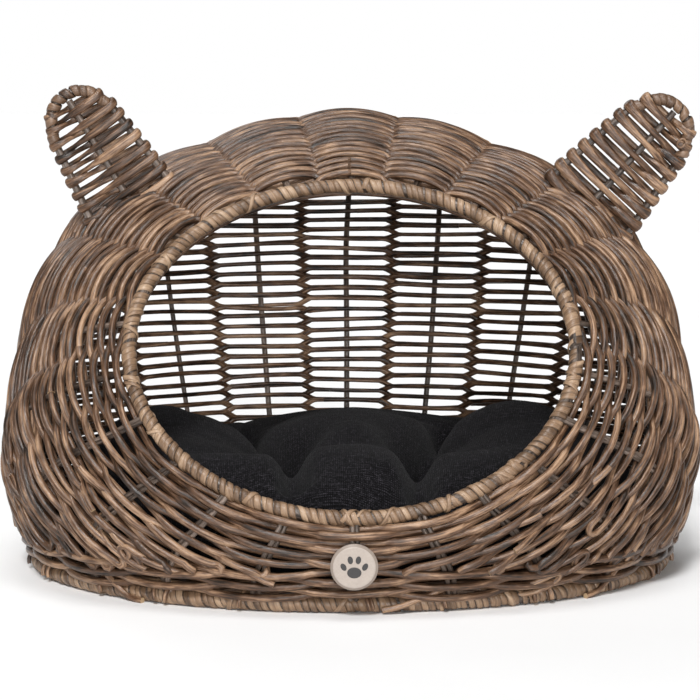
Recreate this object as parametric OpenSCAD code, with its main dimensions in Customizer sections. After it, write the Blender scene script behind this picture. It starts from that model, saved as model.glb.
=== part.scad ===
// Wicker pet bed basket: a domed cave of woven willow on an oval base, with a
// leaning oval mouth, two woven ears, a tufted cushion and a round badge.
// +X right, +Y to the back, +Z up. Angles u run round the basket from the back
// (0) over the right side (90) to the front (180). t runs from the mouth (0)
// down the wall to the base hoop (1).

/* [Base] */
// Half width of the base hoop
base_a = 234.5; // [225:0.5:245]
// Half depth of the base hoop
base_b = 194; // [186:1:200]
// Distance of the base hoop's centre in front of the origin
base_y = 9.4; // [5:0.1:14]
// Outer radius of the bound base hoop
base_r = 6; // [5.5:0.1:6.5]

/* [Mouth] */
// Half width of the mouth hoop
mouth_a = 155.4; // [150:0.2:160]
// Half height of the mouth hoop, along its own plane
mouth_b = 131; // [126:0.5:135]
// Lean of the mouth plane back from upright
mouth_tilt = 34; // [30:1:38]
// Distance of the mouth's centre in front of the origin
mouth_y = 145; // [140:1:150]
// Height of the mouth's centre
mouth_z = 176.2; // [172:0.2:182]
// Outer radius of the bound mouth hoop
mouth_r = 5.6; // [5:0.1:6]
// Radius of the thin hoop behind the mouth
inner_hoop_r = 2.2; // [1.8:0.1:2.5]

/* [Wall] */
// Number of upright stakes round the wall
stakes = 22; // [22:22:22]
// Radius of a stake
stake_r = 2.4; // [2:0.1:2.6]
// Half thickness of the weave midway between two stakes
weave_thin = 2.6; // [2.4:0.1:3]
// Extra half thickness of the weave where it passes a stake
weave_lobe = 4.8; // [4:0.1:5.2]

/* [Floor] */
// Thickness of the woven floor
floor_t = 8; // [7:0.5:9]
// Height of the underside of the woven floor
floor_z = 3; // [2:0.5:4]
// Number of floor sticks
floor_sticks = 11; // [7:2:13]

/* [Ears] */
// Length of an ear above the wall
ear_len = 92; // [80:1:100]
// Half width of the left ear where it leaves the wall
ear_l_half = 33; // [28:1:36]
// Half width of the right ear where it leaves the wall
ear_r_half = 35; // [28:1:38]
// Outward lean of the left ear
ear_l_lean = 31; // [20:1:36]
// Outward lean of the right ear
ear_r_lean = 42; // [34:1:48]
// Radius of an ear's frame rod
ear_rod_r = 3; // [2.5:0.1:3.5]
// Number of weaver turns on an ear
ear_turns = 12; // [8:1:14]

/* [Cushion] */
// Half width of the cushion
cushion_a = 230; // [215:1:231]
// Half depth of the cushion
cushion_b = 194; // [180:1:195]
// Height of the cushion
cushion_h = 86; // [60:1:92]
// Thickness of the cushion's cover
cover_t = 1.6; // [1:0.1:3]

/* [Badge] */
// Diameter of the badge
badge_d = 32; // [26:1:36]
// Thickness of the badge
badge_t = 2.4; // [1.5:0.1:3]

/* [Hidden] */

bay = 360 / stakes;
hoop_steps = 88;
core_gap = 0.1;
core_share = 0.62;
edge_gap = 8.5;
stake_gap = 7.8;
roof_split = 0.42;
roof_rows = 8;
back_rows = 10;
all_rows = [0, roof_rows + back_rows];
front_bays = [7.5, 14.5];
left_bays = [14.5, 18.5];
right_bays = [3.5, 7.5];
back_bays = [-3.5, 3.5];
floor_a = base_a - base_r - 1;
floor_b = base_b - base_r - 1;
stick_r = 2.6;
ear_l_seat = [-164.2, -4, 270.7];
ear_r_seat = [185, 8, 272];
ear_root = 16;
weaver_r = 2.3;
gather = 2.8;
gather_span = 55;
spine_r = 2.4;
ear_slope = 0.06;
wrap_t = 1.1;
wrap_gap = 0.15;
cushion_y = -10;
cushion_z = floor_z + floor_t + 0.6;
seam_z = 34;
tufts = [[-88, 66], [80, 66], [-46, -48], [46, -48]];
badge_u = 180;
badge_t_wall = 0.49;
badge_lean = 5;
prong_r = 0.9;
prong_x = 6;
plate_d = 20;
plate_t = 1.2;
plate_seat = 11.1;

wicker = "#7b6553";
wicker_dark = "#5f4c3e";
cane = "#9a8064";
fabric = "#2c2c31";
wadding = "#d9d6cf";
metal = "#8c8880";

// ---- the wall's mid-surface -------------------------------------------------
function ease(x) = x * x * (3 - 2 * x);

// A value that is f at the front, s at the sides and b at the back, with q
// added towards the rear shoulders
function around(u, f, s, q, b) =
    let (c = cos(u), cf = max(0, -c), cb = max(0, c))
    s + (f - s) * ease(cf) + (b - s) * ease(cb) + q * 4 * cb * cb * (1 - cb * cb);

function unit(v) = v / norm(v);

function mouth_radial(u) =
    [sin(u), cos(u) * sin(mouth_tilt), cos(u) * cos(mouth_tilt)];
function mouth_inward() = [0, cos(mouth_tilt), -sin(mouth_tilt)];
function mouth_point(u) =
    [mouth_a * sin(u), -mouth_y, mouth_z]
    + mouth_b * cos(u) * [0, sin(mouth_tilt), cos(mouth_tilt)];
function base_point(u) = [base_a * sin(u), base_b * cos(u) - base_y, base_r];

// Lengths of the wall's handles at the mouth and at the base
function mouth_pull(u) = around(u, 25.8, 82, -88, 238);
function base_pull(u) = around(u, 31, 134, 96, 297);
function mouth_dir(u) =
    unit(mouth_radial(u) + mouth_inward() * around(u, 0.258, 0.413, 0.227, 0.456));
function base_dir(u) =
    unit([sin(u), cos(u), 0] * around(u, 0.78, 0.371, -0.053, 0.426) + [0, 0, 1]);

function wall(u, t) =
    let (p0 = mouth_point(u), p3 = base_point(u),
         p1 = p0 + mouth_dir(u) * mouth_pull(u),
         p2 = p3 + base_dir(u) * base_pull(u), r = 1 - t)
    r * r * r * p0 + 3 * r * r * t * p1 + 3 * r * t * t * p2 + t * t * t * p3;

function wall_out(u, t) =
    unit(cross(wall(u + 0.5, t) - wall(u - 0.5, t), wall(u, t + 0.005) - wall(u, t - 0.005)));

// t at a share s of the way down the wall, a gap clear of both hoops
function wall_t(u, s, gap) =
    let (a = gap / (3 * mouth_pull(u)), b = 1 - gap / (3 * base_pull(u))) a + (b - a) * s;

// The stakes of the back lie a little closer together low down than over the roof: the
// angle of a stake or row point, from its angle at the mouth and its share of the way down
function gathered(u, s) =
    let (low = ease(min(1, max(0, (s - 0.2) / 0.25))))
    abs(u) < gather_span ? u - gather * low * sin(180 * u / gather_span) : u;

function lobed(u) = weave_thin + weave_lobe * pow(cos(u * stakes / 2), 2);
function weave_point(u, s, side) =
    let (g = gathered(u, s), t = wall_t(g, s, edge_gap))
    wall(g, t) + wall_out(g, t) * side * lobed(u);

function stake_point(u, s) = let (g = gathered(u, s)) wall(g, wall_t(g, s, stake_gap));

// ---- builders ---------------------------------------------------------------
// A closed sheet between two grids of points, each with rows of equal length
module sheet(upper, lower) {
    n = len(upper);
    m = len(upper[0]);
    k = n * m;
    flat = [for (row = upper) each row, for (row = lower) each row];
    caps = [for (i = [0:n - 2], j = [0:m - 2])
        let (a = i * m + j, b = a + 1, c = a + m, d = c + 1)
        each [[a, b, d], [a, d, c], [k + a, k + d, k + b], [k + a, k + c, k + d]]];
    ends = [for (i = [0, n - 1], j = [0:m - 2])
        let (a = i * m + j, b = a + 1)
        each (i == 0 ? [[a, k + b, b], [a, k + a, k + b]] : [[a, b, k + b], [a, k + b, k + a]])];
    sides = [for (j = [0, m - 1], i = [0:n - 2])
        let (a = i * m + j, c = a + m)
        each (j == 0 ? [[a, c, k + c], [a, k + c, k + a]] : [[a, k + c, c], [a, k + a, k + c]])];
    polyhedron(flat, concat(caps, ends, sides), convexity = 8);
}

// A rod along a path, with its frame turned about the vector up
module rod(path, r, steps, up, closed = false) {
    n = len(path);
    ring = [for (i = [0:n - 1])
        let (before = path[closed ? (i + n - 1) % n : max(0, i - 1)],
             after = path[closed ? (i + 1) % n : min(n - 1, i + 1)],
             w = unit(after - before), a = unit(cross(up, w)), b = cross(w, a))
        each [for (j = [0:steps - 1]) path[i] + r * (a * cos(360 * j / steps) + b * sin(360 * j / steps))]];
    skin = [for (i = [0:n - (closed ? 1 : 2)], j = [0:steps - 1])
        let (a = i * steps + j, b = i * steps + (j + 1) % steps,
             c = ((i + 1) % n) * steps + j, d = ((i + 1) % n) * steps + (j + 1) % steps)
        each [[a, d, b], [a, c, d]]];
    ends = closed ? [] : [[for (j = [0:steps - 1]) j],
                          [for (j = [0:steps - 1]) n * steps - 1 - j]];
    polyhedron(ring, concat(skin, ends), convexity = 8);
}

// An oval band of height h about z = 0, between two offsets from an oval
module oval_band(a, b, inside, outside, h) {
    linear_extrude(height = h, center = true)
        difference() {
            polygon(oval(a + outside, b + outside));
            polygon(oval(a + inside, b + inside));
        }
}

function oval(a, b) = [for (i = [0:hoop_steps - 1])
    [a * cos(i * 360 / hoop_steps), b * sin(i * 360 / hoop_steps)]];

function oval_path(a, b) = [for (p = oval(a, b)) [p[0], p[1], 0]];

// The cane wrapped round a hoop of half axes a and b, with its channel inside
module binding_band(a, b, r) {
    edge = 0.3 * r;
    core = core_share * r;
    difference() {
        union() {
            oval_band(a, b, -r, r, 2 * (r - edge));
            oval_band(a, b, edge - r, r - edge, 2 * r);
        }
        oval_band(a, b, -core, core, 2 * core);
    }
}

module on_base_hoop() { translate([0, -base_y, base_r]) children(); }
module on_mouth_hoop() { translate([0, -mouth_y, mouth_z]) rotate([90 - mouth_tilt, 0, 0]) children(); }
module hoop_core(a, b, r) { rod(oval_path(a, b), core_share * r - core_gap, 8, [0, 0, 1], closed = true); }

// ---- hoops and floor --------------------------------------------------------
module base_hoop() { color(wicker_dark) on_base_hoop() hoop_core(base_a, base_b, base_r); }
module base_hoop_binding() { color(cane) on_base_hoop() binding_band(base_a, base_b, base_r); }
module mouth_hoop() { color(wicker_dark) on_mouth_hoop() hoop_core(mouth_a, mouth_b, mouth_r); }
module mouth_hoop_binding() { color(cane) on_mouth_hoop() binding_band(mouth_a, mouth_b, mouth_r); }

module mouth_inner_hoop() {
    back = mouth_r + inner_hoop_r + 0.6;
    color(wicker) on_mouth_hoop() translate([0, 0, -back])
        rod(oval_path(mouth_a - 1, mouth_b - 1), inner_hoop_r, 6, [0, 0, 1], closed = true);
}

module floor_weave() {
    color(wicker) translate([0, -base_y, floor_z])
        linear_extrude(height = floor_t) polygon(oval(floor_a, floor_b));
}

module floor_sticks() {
    pitch = 2 * floor_a / (floor_sticks + 1);
    color(wicker_dark)
        for (i = [0:floor_sticks - 1]) {
            x = (i - (floor_sticks - 1) / 2) * pitch;
            half = floor_b * sqrt(1 - pow(x / floor_a, 2)) - 2;
            translate([x, -base_y, floor_z + floor_t / 2]) rotate([90, 0, 0])
                cylinder(r = stick_r, h = 2 * half, center = true, $fn = 24);
        }
}

// ---- wall -------------------------------------------------------------------
module stake_group(bays) {
    color(wicker_dark)
        for (k = [ceil(bays[0]):floor(bays[1])])
            rod([for (i = [0:11]) stake_point(k * bay, i / 11)],
                stake_r, 6, [cos(k * bay), -sin(k * bay), 0]);
}

// Share of the way down the wall at a row line, closer together over the roof
function row_share(i) = i < roof_rows ? roof_split * i / roof_rows
    : roof_split + (1 - roof_split) * (i - roof_rows) / back_rows;

module weave_panel(bays, rows) {
    color(wicker) sheet(weave_grid(bays, rows, -1), weave_grid(bays, rows, 1));
}

function weave_grid(bays, rows, side) =
    [for (i = [rows[0]:rows[1]]) [for (j = [0:4 * (bays[1] - bays[0])])
        weave_point((bays[0] + j / 4) * bay, row_share(i), side)]];

module stakes_front() { stake_group(front_bays); }
module stakes_left() { stake_group(left_bays); }
module stakes_right() { stake_group(right_bays); }
module stakes_back() { stake_group(back_bays); }
module weave_front() { weave_panel(front_bays, all_rows); }
module weave_left() { weave_panel(left_bays, all_rows); }
module weave_right() { weave_panel(right_bays, all_rows); }
module weave_roof() { weave_panel(back_bays, [0, roof_rows]); }
module weave_back() { weave_panel(back_bays, [roof_rows, roof_rows + back_rows]); }

// ---- ears -------------------------------------------------------------------
// An ear stands in its own plane: x across, z along the ear from the wall
module at_ear(seat, lean) { translate(seat) rotate([0, lean, 0]) children(); }

// Half the gap between the frame's legs at a height z along the ear
function ear_half(z, half) = half * (1 - 0.34 * max(0, z) / ear_len);

function ear_outline(half) =
    let (top = ear_half(ear_len, half), shoulder = ear_len - top)
    concat([for (z = [-ear_root, 0, shoulder / 2]) [-ear_half(z, half), 0, z]],
           [for (a = [180:-15:0]) [top * cos(a), 0, shoulder + top * sin(a)]],
           [for (z = [shoulder / 2, 0, -ear_root]) [ear_half(z, half), 0, z]]);

module ear_frame(half) { rod(ear_outline(half), ear_rod_r, 8, [0, 1, 0]); }

module ear_spine(half) {
    translate([0, 0, -ear_root])
        cylinder(r = spine_r, h = ear_root + ear_len - ear_rod_r - wrap_t - 0.4, $fn = 24);
}

// One turn of the weaver round both legs of the frame, leaning a little
module ear_turn(z, half, slope) {
    reach = ear_half(z, half) + ear_rod_r + weaver_r + 0.2;
    round = ear_rod_r + weaver_r + 0.2;
    flat = reach - round;
    path = [for (side = [1, -1], a = [-90:36:90])
        let (x = side * (flat + round * cos(a)), y = side * round * sin(a)) [x, y, z + slope * x]];
    rod(path, weaver_r, 6, [0, 0, 1], closed = true);
}

module ear_weaver(half) {
    pitch = (ear_len - ear_half(ear_len, half)) / ear_turns;
    for (i = [0:ear_turns - 1]) ear_turn((i + 0.5) * pitch, half, ear_slope);
}

// Cane wound over the arch of the frame
module ear_tip_binding(half) {
    top = ear_half(ear_len, half);
    translate([0, 0, ear_len - top]) rotate([90, 0, 0])
        rotate_extrude(angle = 180, $fn = 60) translate([top, 0]) difference() {
            circle(r = ear_rod_r + wrap_t, $fn = 20);
            circle(r = ear_rod_r + wrap_gap, $fn = 20);
        }
}

module ear_left_frame() { color(wicker_dark) at_ear(ear_l_seat, -ear_l_lean) ear_frame(ear_l_half); }
module ear_left_spine() { color(wicker_dark) at_ear(ear_l_seat, -ear_l_lean) ear_spine(ear_l_half); }
module ear_left_weaver() { color(wicker) at_ear(ear_l_seat, -ear_l_lean) ear_weaver(ear_l_half); }
module ear_left_tip_binding() { color(cane) at_ear(ear_l_seat, -ear_l_lean) ear_tip_binding(ear_l_half); }
module ear_right_frame() { color(wicker_dark) at_ear(ear_r_seat, ear_r_lean) ear_frame(ear_r_half); }
module ear_right_spine() { color(wicker_dark) at_ear(ear_r_seat, ear_r_lean) ear_spine(ear_r_half); }
module ear_right_weaver() { color(wicker) at_ear(ear_r_seat, ear_r_lean) ear_weaver(ear_r_half); }
module ear_right_tip_binding() { color(cane) at_ear(ear_r_seat, ear_r_lean) ear_tip_binding(ear_r_half); }

// ---- cushion ----------------------------------------------------------------
// Share of the full radius, and height, along the cushion's upper and lower side
function crown(v) = [pow(cos(90 * v), 0.45), seam_z + (cushion_h - seam_z) * pow(sin(90 * v), 0.8)];
function belly(v) = [1 - 0.16 * pow(v, 2), seam_z * (1 - pow(v, 0.8))];

function cushion_ring(share, z, inset) =
    [for (j = [0:44]) let (a = j * 8)
        [(cushion_a * share - inset) * cos(a), (cushion_b * share - inset) * sin(a), z]];

// A solid of stacked rings, closed by a flat face at each end
module stack(rings) {
    m = len(rings[0]) - 1;
    n = len(rings);
    points = [for (r = rings) each [for (j = [0:m - 1]) r[j]]];
    skin = [for (i = [0:n - 2], j = [0:m - 1])
        let (a = i * m + j, b = i * m + (j + 1) % m, c = a + m, d = b + m)
        each [[a, d, b], [a, c, d]]];
    polyhedron(points, concat(skin, [[for (j = [0:m - 1]) j],
        [for (j = [0:m - 1]) n * m - 1 - j]]), convexity = 4);
}

function crown_rings(inset) = [for (v = [0, 0.14, 0.35, 0.6, 0.85])
    let (c = crown(v)) cushion_ring(c[0], c[1] - inset * v, inset)];
function belly_rings(inset) = [for (v = [1, 0.6, 0.25, 0])
    let (c = belly(v)) cushion_ring(c[0], c[1] + inset * v, inset)];

module on_floor() { translate([0, cushion_y, cushion_z]) children(); }

module cushion_cover_top() {
    color(fabric) on_floor() difference() {
        stack(crown_rings(0));
        translate([0, 0, -0.01]) stack(crown_rings(cover_t));
    }
}

module cushion_cover_bottom() {
    color(fabric) on_floor() difference() {
        stack(belly_rings(0));
        translate([0, 0, 0.01]) stack(belly_rings(cover_t));
    }
}

module cushion_filling() {
    color(wadding) on_floor() difference() {
        stack(concat(belly_rings(cover_t + core_gap), [for (i = [1:4]) crown_rings(cover_t + core_gap)[i]]));
        tuft_places() cylinder(r = 1.5, h = 3 * cushion_h, center = true, $fn = 16);
    }
}

module tuft_places() { for (p = tufts) translate([p[0], p[1], 0]) children(); }

module cushion_tuft_ties() {
    low = cover_t + 1;
    color(fabric) on_floor() tuft_places() translate([0, 0, low])
        cylinder(r = 1, h = cushion_h * 0.8 - low, $fn = 16);
}

// ---- badge ------------------------------------------------------------------
module on_badge(offset) {
    out = [0, -cos(badge_lean), -sin(badge_lean)];
    translate(wall(badge_u, badge_t_wall) + out * offset) rotate([90 + badge_lean, 0, 0]) children();
}

module badge_disc() {
    face = weave_thin + weave_lobe + 0.5;
    color(metal) on_badge(face) {
        cylinder(d = badge_d, h = badge_t - 0.6, $fn = 64);
        translate([0, 0, badge_t - 0.6]) cylinder(d1 = badge_d, d2 = badge_d - 1.2, h = 0.6, $fn = 64);
    }
}

module badge_prongs() {
    low = plate_seat + plate_t + 0.2;
    face = weave_thin + weave_lobe + 0.5;
    color(metal) on_badge(-low)
        for (x = [-prong_x, prong_x]) translate([x, 0, 0])
            cylinder(r = prong_r, h = low + face, $fn = 16);
}

module badge_back_plate() {
    color(metal) on_badge(-plate_seat - plate_t) difference() {
        cylinder(d = plate_d, h = plate_t, $fn = 48);
        for (x = [-prong_x, prong_x]) translate([x, 0, -1]) cylinder(r = prong_r, h = plate_t + 2, $fn = 16);
    }
}

base_hoop();
base_hoop_binding();
floor_weave();
floor_sticks();
mouth_hoop();
mouth_hoop_binding();
mouth_inner_hoop();
stakes_front();
stakes_left();
stakes_right();
stakes_back();
weave_front();
weave_left();
weave_right();
weave_roof();
weave_back();
ear_left_frame();
ear_left_spine();
ear_left_weaver();
ear_left_tip_binding();
ear_right_frame();
ear_right_spine();
ear_right_weaver();
ear_right_tip_binding();
cushion_cover_top();
cushion_cover_bottom();
cushion_filling();
cushion_tuft_ties();
badge_disc();
badge_prongs();
badge_back_plate();
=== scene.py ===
import math

import bmesh
import bpy
import numpy as np
from mathutils import Matrix, Vector


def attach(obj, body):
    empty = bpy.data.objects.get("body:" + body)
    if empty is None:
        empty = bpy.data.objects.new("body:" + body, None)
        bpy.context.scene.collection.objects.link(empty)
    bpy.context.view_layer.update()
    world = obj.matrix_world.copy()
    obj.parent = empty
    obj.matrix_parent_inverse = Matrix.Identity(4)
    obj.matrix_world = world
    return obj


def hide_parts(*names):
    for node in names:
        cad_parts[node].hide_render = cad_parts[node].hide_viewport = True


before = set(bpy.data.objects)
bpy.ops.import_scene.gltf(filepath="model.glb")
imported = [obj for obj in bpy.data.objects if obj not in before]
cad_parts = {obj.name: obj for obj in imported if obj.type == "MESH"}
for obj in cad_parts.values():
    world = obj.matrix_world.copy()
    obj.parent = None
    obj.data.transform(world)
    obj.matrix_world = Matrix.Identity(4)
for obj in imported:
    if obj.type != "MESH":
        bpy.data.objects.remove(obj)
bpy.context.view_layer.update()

# ---- sizes
BASE_A, BASE_B = 0.2345, 0.194  # half axes of the base hoop
BASE_Y, BASE_R = 0.0094, 0.006  # its centre in front of the origin, its bound radius
MOUTH_A, MOUTH_B = 0.1554, 0.131  # half axes of the mouth hoop
MOUTH_Y, MOUTH_Z = 0.145, 0.1762  # its centre
MOUTH_TILT = math.radians(34)
MOUTH_R, INNER_R = 0.0056, 0.0022  # the bound hoop and the bare one behind it
STAKES = 22
BAY = 360 / STAKES
STAKE_R, STAKE_STEP = 0.0024, 0.012
GATHER, GATHER_SPAN = 2.8, 55  # the back stakes draw together low down, in degrees
CUT_WOOD = (0.42, 0.29, 0.17)  # colour of a strand's cut end
STRAND_R = 0.00225  # a willow weaver
PASS_OUT = 0.0046  # how far a weaver stands off the wall's middle at a stake
RING_STEP = 0.0027  # spacing of the rings along a strand
WALL_R, DEGREE_RUN = 0.21, 0.0036  # the wall's usual radius, and its girth for each degree
PITCH = 0.0043  # spacing of the rows
MOUTH_ROWS, BASE_ROWS = 6, 5  # whole rows that follow each hoop
MOUTH_LAST = 62  # last row that keeps its distance from the mouth
MOUTH_EDGE, BASE_EDGE = 0.0058, 0.0062  # how far from each hoop the rows begin
SIGHT_UP = np.array([0, math.sin(math.radians(6)), math.cos(math.radians(6))])
FLOOR_Z, FLOOR_T, FLOOR_STICKS = 0.003, 0.008, 11
FLOOR_PITCH, FLOOR_STEP = 0.0052, 0.0065
EAR_LEN, EAR_ROOT = 0.092, 0.016
EAR_ROD_R, SPINE_R, EAR_STEPS = 0.003, 0.0026, 36
EARS = {"left": ((-0.1642, -0.004, 0.2707), -31, 0.033), "right": ((0.185, 0.008, 0.272), 42, 0.035)}
EAR_WEAVES = {"left": (10, 1, 0.0031), "right": (9, -1, 0.0041)}  # turns, way round, half width
CUSHION_A, CUSHION_B, CUSHION_H = 0.230, 0.194, 0.086
CUSHION_Y, CUSHION_Z, SEAM_Z = -0.010, 0.0116, 0.034
TUFTS = [(-0.088, 0.066), (0.080, 0.066), (-0.046, -0.048), (0.046, -0.048)]
CREASES = [(TUFTS[0], TUFTS[2], 0.009, 0.046), (TUFTS[1], TUFTS[3], 0.009, 0.046),
           (TUFTS[2], (-0.040, -0.150), 0.009, 0.036), (TUFTS[3], (0.046, -0.150), 0.010, 0.036),
           (TUFTS[0], (-0.150, 0.120), 0.007, 0.010), (TUFTS[1], (0.150, 0.110), 0.007, 0.010)]
HUMPS = [(0.0, 0.03, 0.060, 0.014), (0.0, -0.045, 0.042, 0.016), (0.125, 0.03, 0.060, 0.022),
         (-0.145, 0.03, 0.055, 0.020), (0.0, 0.130, 0.05, 0.006), (0.0, -0.110, 0.05, 0.002)]
FOLDED_IN = 0.010  # how much smaller the cushion is before it fills out
MAX_PUFF = 0.024  # the farthest that the filling moves the cover
BADGE_D, BADGE_T, BADGE_OUT = 0.032, 0.0024, 0.0079
BADGE_LEAN = math.radians(5)

rng = np.random.default_rng(11)


# ---- the wall's mid-surface, as in the CAD source
def unit(v):
    return v / np.maximum(np.linalg.norm(v, axis=-1, keepdims=True), 1e-12)


def ease(x):
    return x * x * (3 - 2 * x)


def step_up(x):
    """0 up to x = 0, 1 from x = 1, smooth between."""
    return ease(np.clip(x, 0, 1))


def around(u, front, side, back, shoulder):
    """A value that blends round the basket from the front over the side to the back."""
    c = np.cos(u)
    cf, cb = np.maximum(0, -c), np.maximum(0, c)
    bump = shoulder * 4 * cb * cb * (1 - cb * cb)
    return (side + (front - side) * ease(cf) + (back - side) * ease(cb) + bump)[..., None]


def wall(u, t):
    """Point of the wall at angle u (radians) and share t from the mouth hoop to the base hoop."""
    s, c = np.sin(u), np.cos(u)
    st, ct = math.sin(MOUTH_TILT), math.cos(MOUTH_TILT)
    radial = np.stack([s, c * st, c * ct], -1)
    inward = np.array([0, ct, -st])
    flat = np.stack([s, c, 0 * s], -1)
    p0 = np.stack([MOUTH_A * s, MOUTH_B * c * st - MOUTH_Y, MOUTH_B * c * ct + MOUTH_Z], -1)
    p3 = np.stack([BASE_A * s, BASE_B * c - BASE_Y, 0 * s + BASE_R], -1)
    d0 = unit(radial + inward * around(u, 0.258, 0.413, 0.456, 0.227))
    d3 = unit(flat * around(u, 0.78, 0.371, 0.426, -0.053) + np.array([0, 0, 1.0]))
    p1 = p0 + d0 * around(u, 0.0258, 0.082, 0.238, -0.088)
    p2 = p3 + d3 * around(u, 0.031, 0.134, 0.297, 0.096)
    t = t[..., None]
    r = 1 - t
    return r ** 3 * p0 + 3 * r * r * t * p1 + 3 * r * t * t * p2 + t ** 3 * p3


class Shell:
    """The wall as a table: places and outward directions at an angle in degrees and at a distance
    down the wall from the mouth hoop."""

    columns, rows = 720, 240

    def __init__(self):
        columns, rows = self.columns, self.rows
        u = np.radians(np.arange(columns + 1) * 360 / columns)
        t = np.linspace(0, 1, rows + 1)
        grid = wall(*np.meshgrid(u, t, indexing="ij"))
        run = np.zeros(grid.shape[:2])
        run[:, 1:] = np.cumsum(np.linalg.norm(np.diff(grid, axis=1), axis=2), axis=1)
        even = np.empty_like(grid)
        for i in range(columns + 1):
            for k in range(3):
                even[i, :, k] = np.interp(t * run[i, -1], run[i], grid[i, :, k])
        wide = np.concatenate([even[-2:-1], even, even[1:2]])
        outward = unit(np.cross(wide[2:] - wide[:-2], np.gradient(even, axis=1)))
        self.length = run[:, -1]
        self.table = np.concatenate([even, outward], -1)

    def long(self, u):
        """Length of the wall from hoop to hoop at angle u."""
        return np.interp(np.asarray(u, float) % 360, np.linspace(0, 360, self.columns + 1), self.length)

    def look_up(self, u, down):
        u, down = np.broadcast_arrays(u, down)
        x = (u % 360) * self.columns / 360
        y = np.clip(down / self.long(u), 0, 1) * self.rows
        i = np.clip(x.astype(int), 0, self.columns - 1)
        j = np.clip(y.astype(int), 0, self.rows - 1)
        fx, fy = (x - i)[..., None], (y - j)[..., None]
        near = self.table[i, j] * (1 - fx) + self.table[i + 1, j] * fx
        far = self.table[i, j + 1] * (1 - fx) + self.table[i + 1, j + 1] * fx
        return near * (1 - fy) + far * fy

    def at(self, u, down, out=0.0):
        found = self.look_up(u, down)
        return found[..., :3] + unit(found[..., 3:]) * np.asarray(out, float)[..., None]

    def out(self, u, down):
        return unit(self.look_up(u, down)[..., 3:])


shell = Shell()


# ---- mesh helpers
def run_of(path):
    return np.concatenate([[0], np.cumsum(np.linalg.norm(np.diff(path, axis=0), axis=1))])


def evenly(columns, run, step):
    """Columns of numbers along a path, taken again at points a step apart."""
    at = np.linspace(0, run[-1], max(3, int(run[-1] / step) + 1))
    return np.stack([np.interp(at, run, column) for column in columns.T], -1)


def slow_noise(count, step, wave, size):
    """A smooth random run whose swings are about a wave length apart."""
    knots = max(4, int(count * step / wave) + 3)
    values = rng.normal(0, size, knots)
    x = np.linspace(0, knots - 1.001, count)
    i = x.astype(int)
    f = ease(x - i)
    return values[i] * (1 - f) + values[i + 1] * f


def new_object(name, data):
    obj = bpy.data.objects.new(name, data)
    bpy.context.scene.collection.objects.link(obj)
    return obj


def join_rings(mesh, rings):
    """Faces between each ring of vertices and the next."""
    for low, high in zip(rings, rings[1:]):
        for i in range(len(low)):
            j = (i + 1) % len(low)
            mesh.faces.new((low[i], low[j], high[j], high[i]))


def from_bmesh(mesh, name):
    data = bpy.data.meshes.new(name)
    mesh.to_mesh(data)
    mesh.free()
    return new_object(name, data)


def mesh_object(name, points, corners, sizes, tone, grain):
    """A smooth mesh object from arrays. tone and grain are kept on it for its material."""
    mesh = bpy.data.meshes.new(name)
    mesh.vertices.add(len(points))
    mesh.vertices.foreach_set("co", points.astype(np.float32).ravel())
    mesh.loops.add(len(corners))
    mesh.loops.foreach_set("vertex_index", corners.astype(np.int32))
    mesh.polygons.add(len(sizes))
    starts = np.concatenate([[0], np.cumsum(sizes)[:-1]])
    mesh.polygons.foreach_set("loop_start", starts.astype(np.int32))
    mesh.polygons.foreach_set("use_smooth", np.full(len(sizes), True))
    mesh.update(calc_edges=True)
    colours = np.concatenate([tone, np.ones((len(tone), 1))], 1)
    for key, kind, part, values in (("tone", "FLOAT_COLOR", "color", colours),
                                    ("grain", "FLOAT_VECTOR", "vector", grain)):
        layer = mesh.attributes.new(key, kind, "POINT")
        layer.data.foreach_set(part, values.astype(np.float32).ravel())
    return new_object(name, mesh)


def dress(obj, material):
    obj.data.materials.clear()
    obj.data.materials.append(material)


def place(obj, material, slot, *nodes, body="basket"):
    """Gives a piece its material, its body and the CAD nodes that it stands for."""
    dress(obj, material)
    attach(obj, body)
    if nodes:
        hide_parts(*nodes)
    return obj


def directions(path, facing, closed):
    """Two unit vectors at each point of a path: one to the facing side, and one across both."""
    ahead = np.roll(path, -1, 0) - np.roll(path, 1, 0)
    if not closed:
        ahead[0], ahead[-1] = path[1] - path[0], path[-1] - path[-2]
    ahead = unit(ahead)
    side = unit(facing - ahead * np.sum(facing * ahead, -1, keepdims=True))
    return side, np.cross(ahead, side)


def grid_faces(rows, columns, n, m):
    """Corners of the first rows and columns of faces in a grid of n by m points that joins up."""
    i, j = np.meshgrid(np.arange(rows), np.arange(columns), indexing="ij")
    after, turned = (i + 1) % n * m, (j + 1) % m
    return np.stack([i * m + j, i * m + turned, after + turned, after + j], -1).ravel()


class Pile:
    """Collects faces of one kind of piece, to make one mesh of them."""

    def __init__(self):
        self.kept, self.count = [], 0

    def keep(self, points, corners, sizes, tone, grain):
        self.kept.append((points, corners + self.count, sizes, tone, grain))
        self.count += len(points)

    def build(self, name):
        return mesh_object(name, *map(np.concatenate, zip(*self.kept)))


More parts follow.
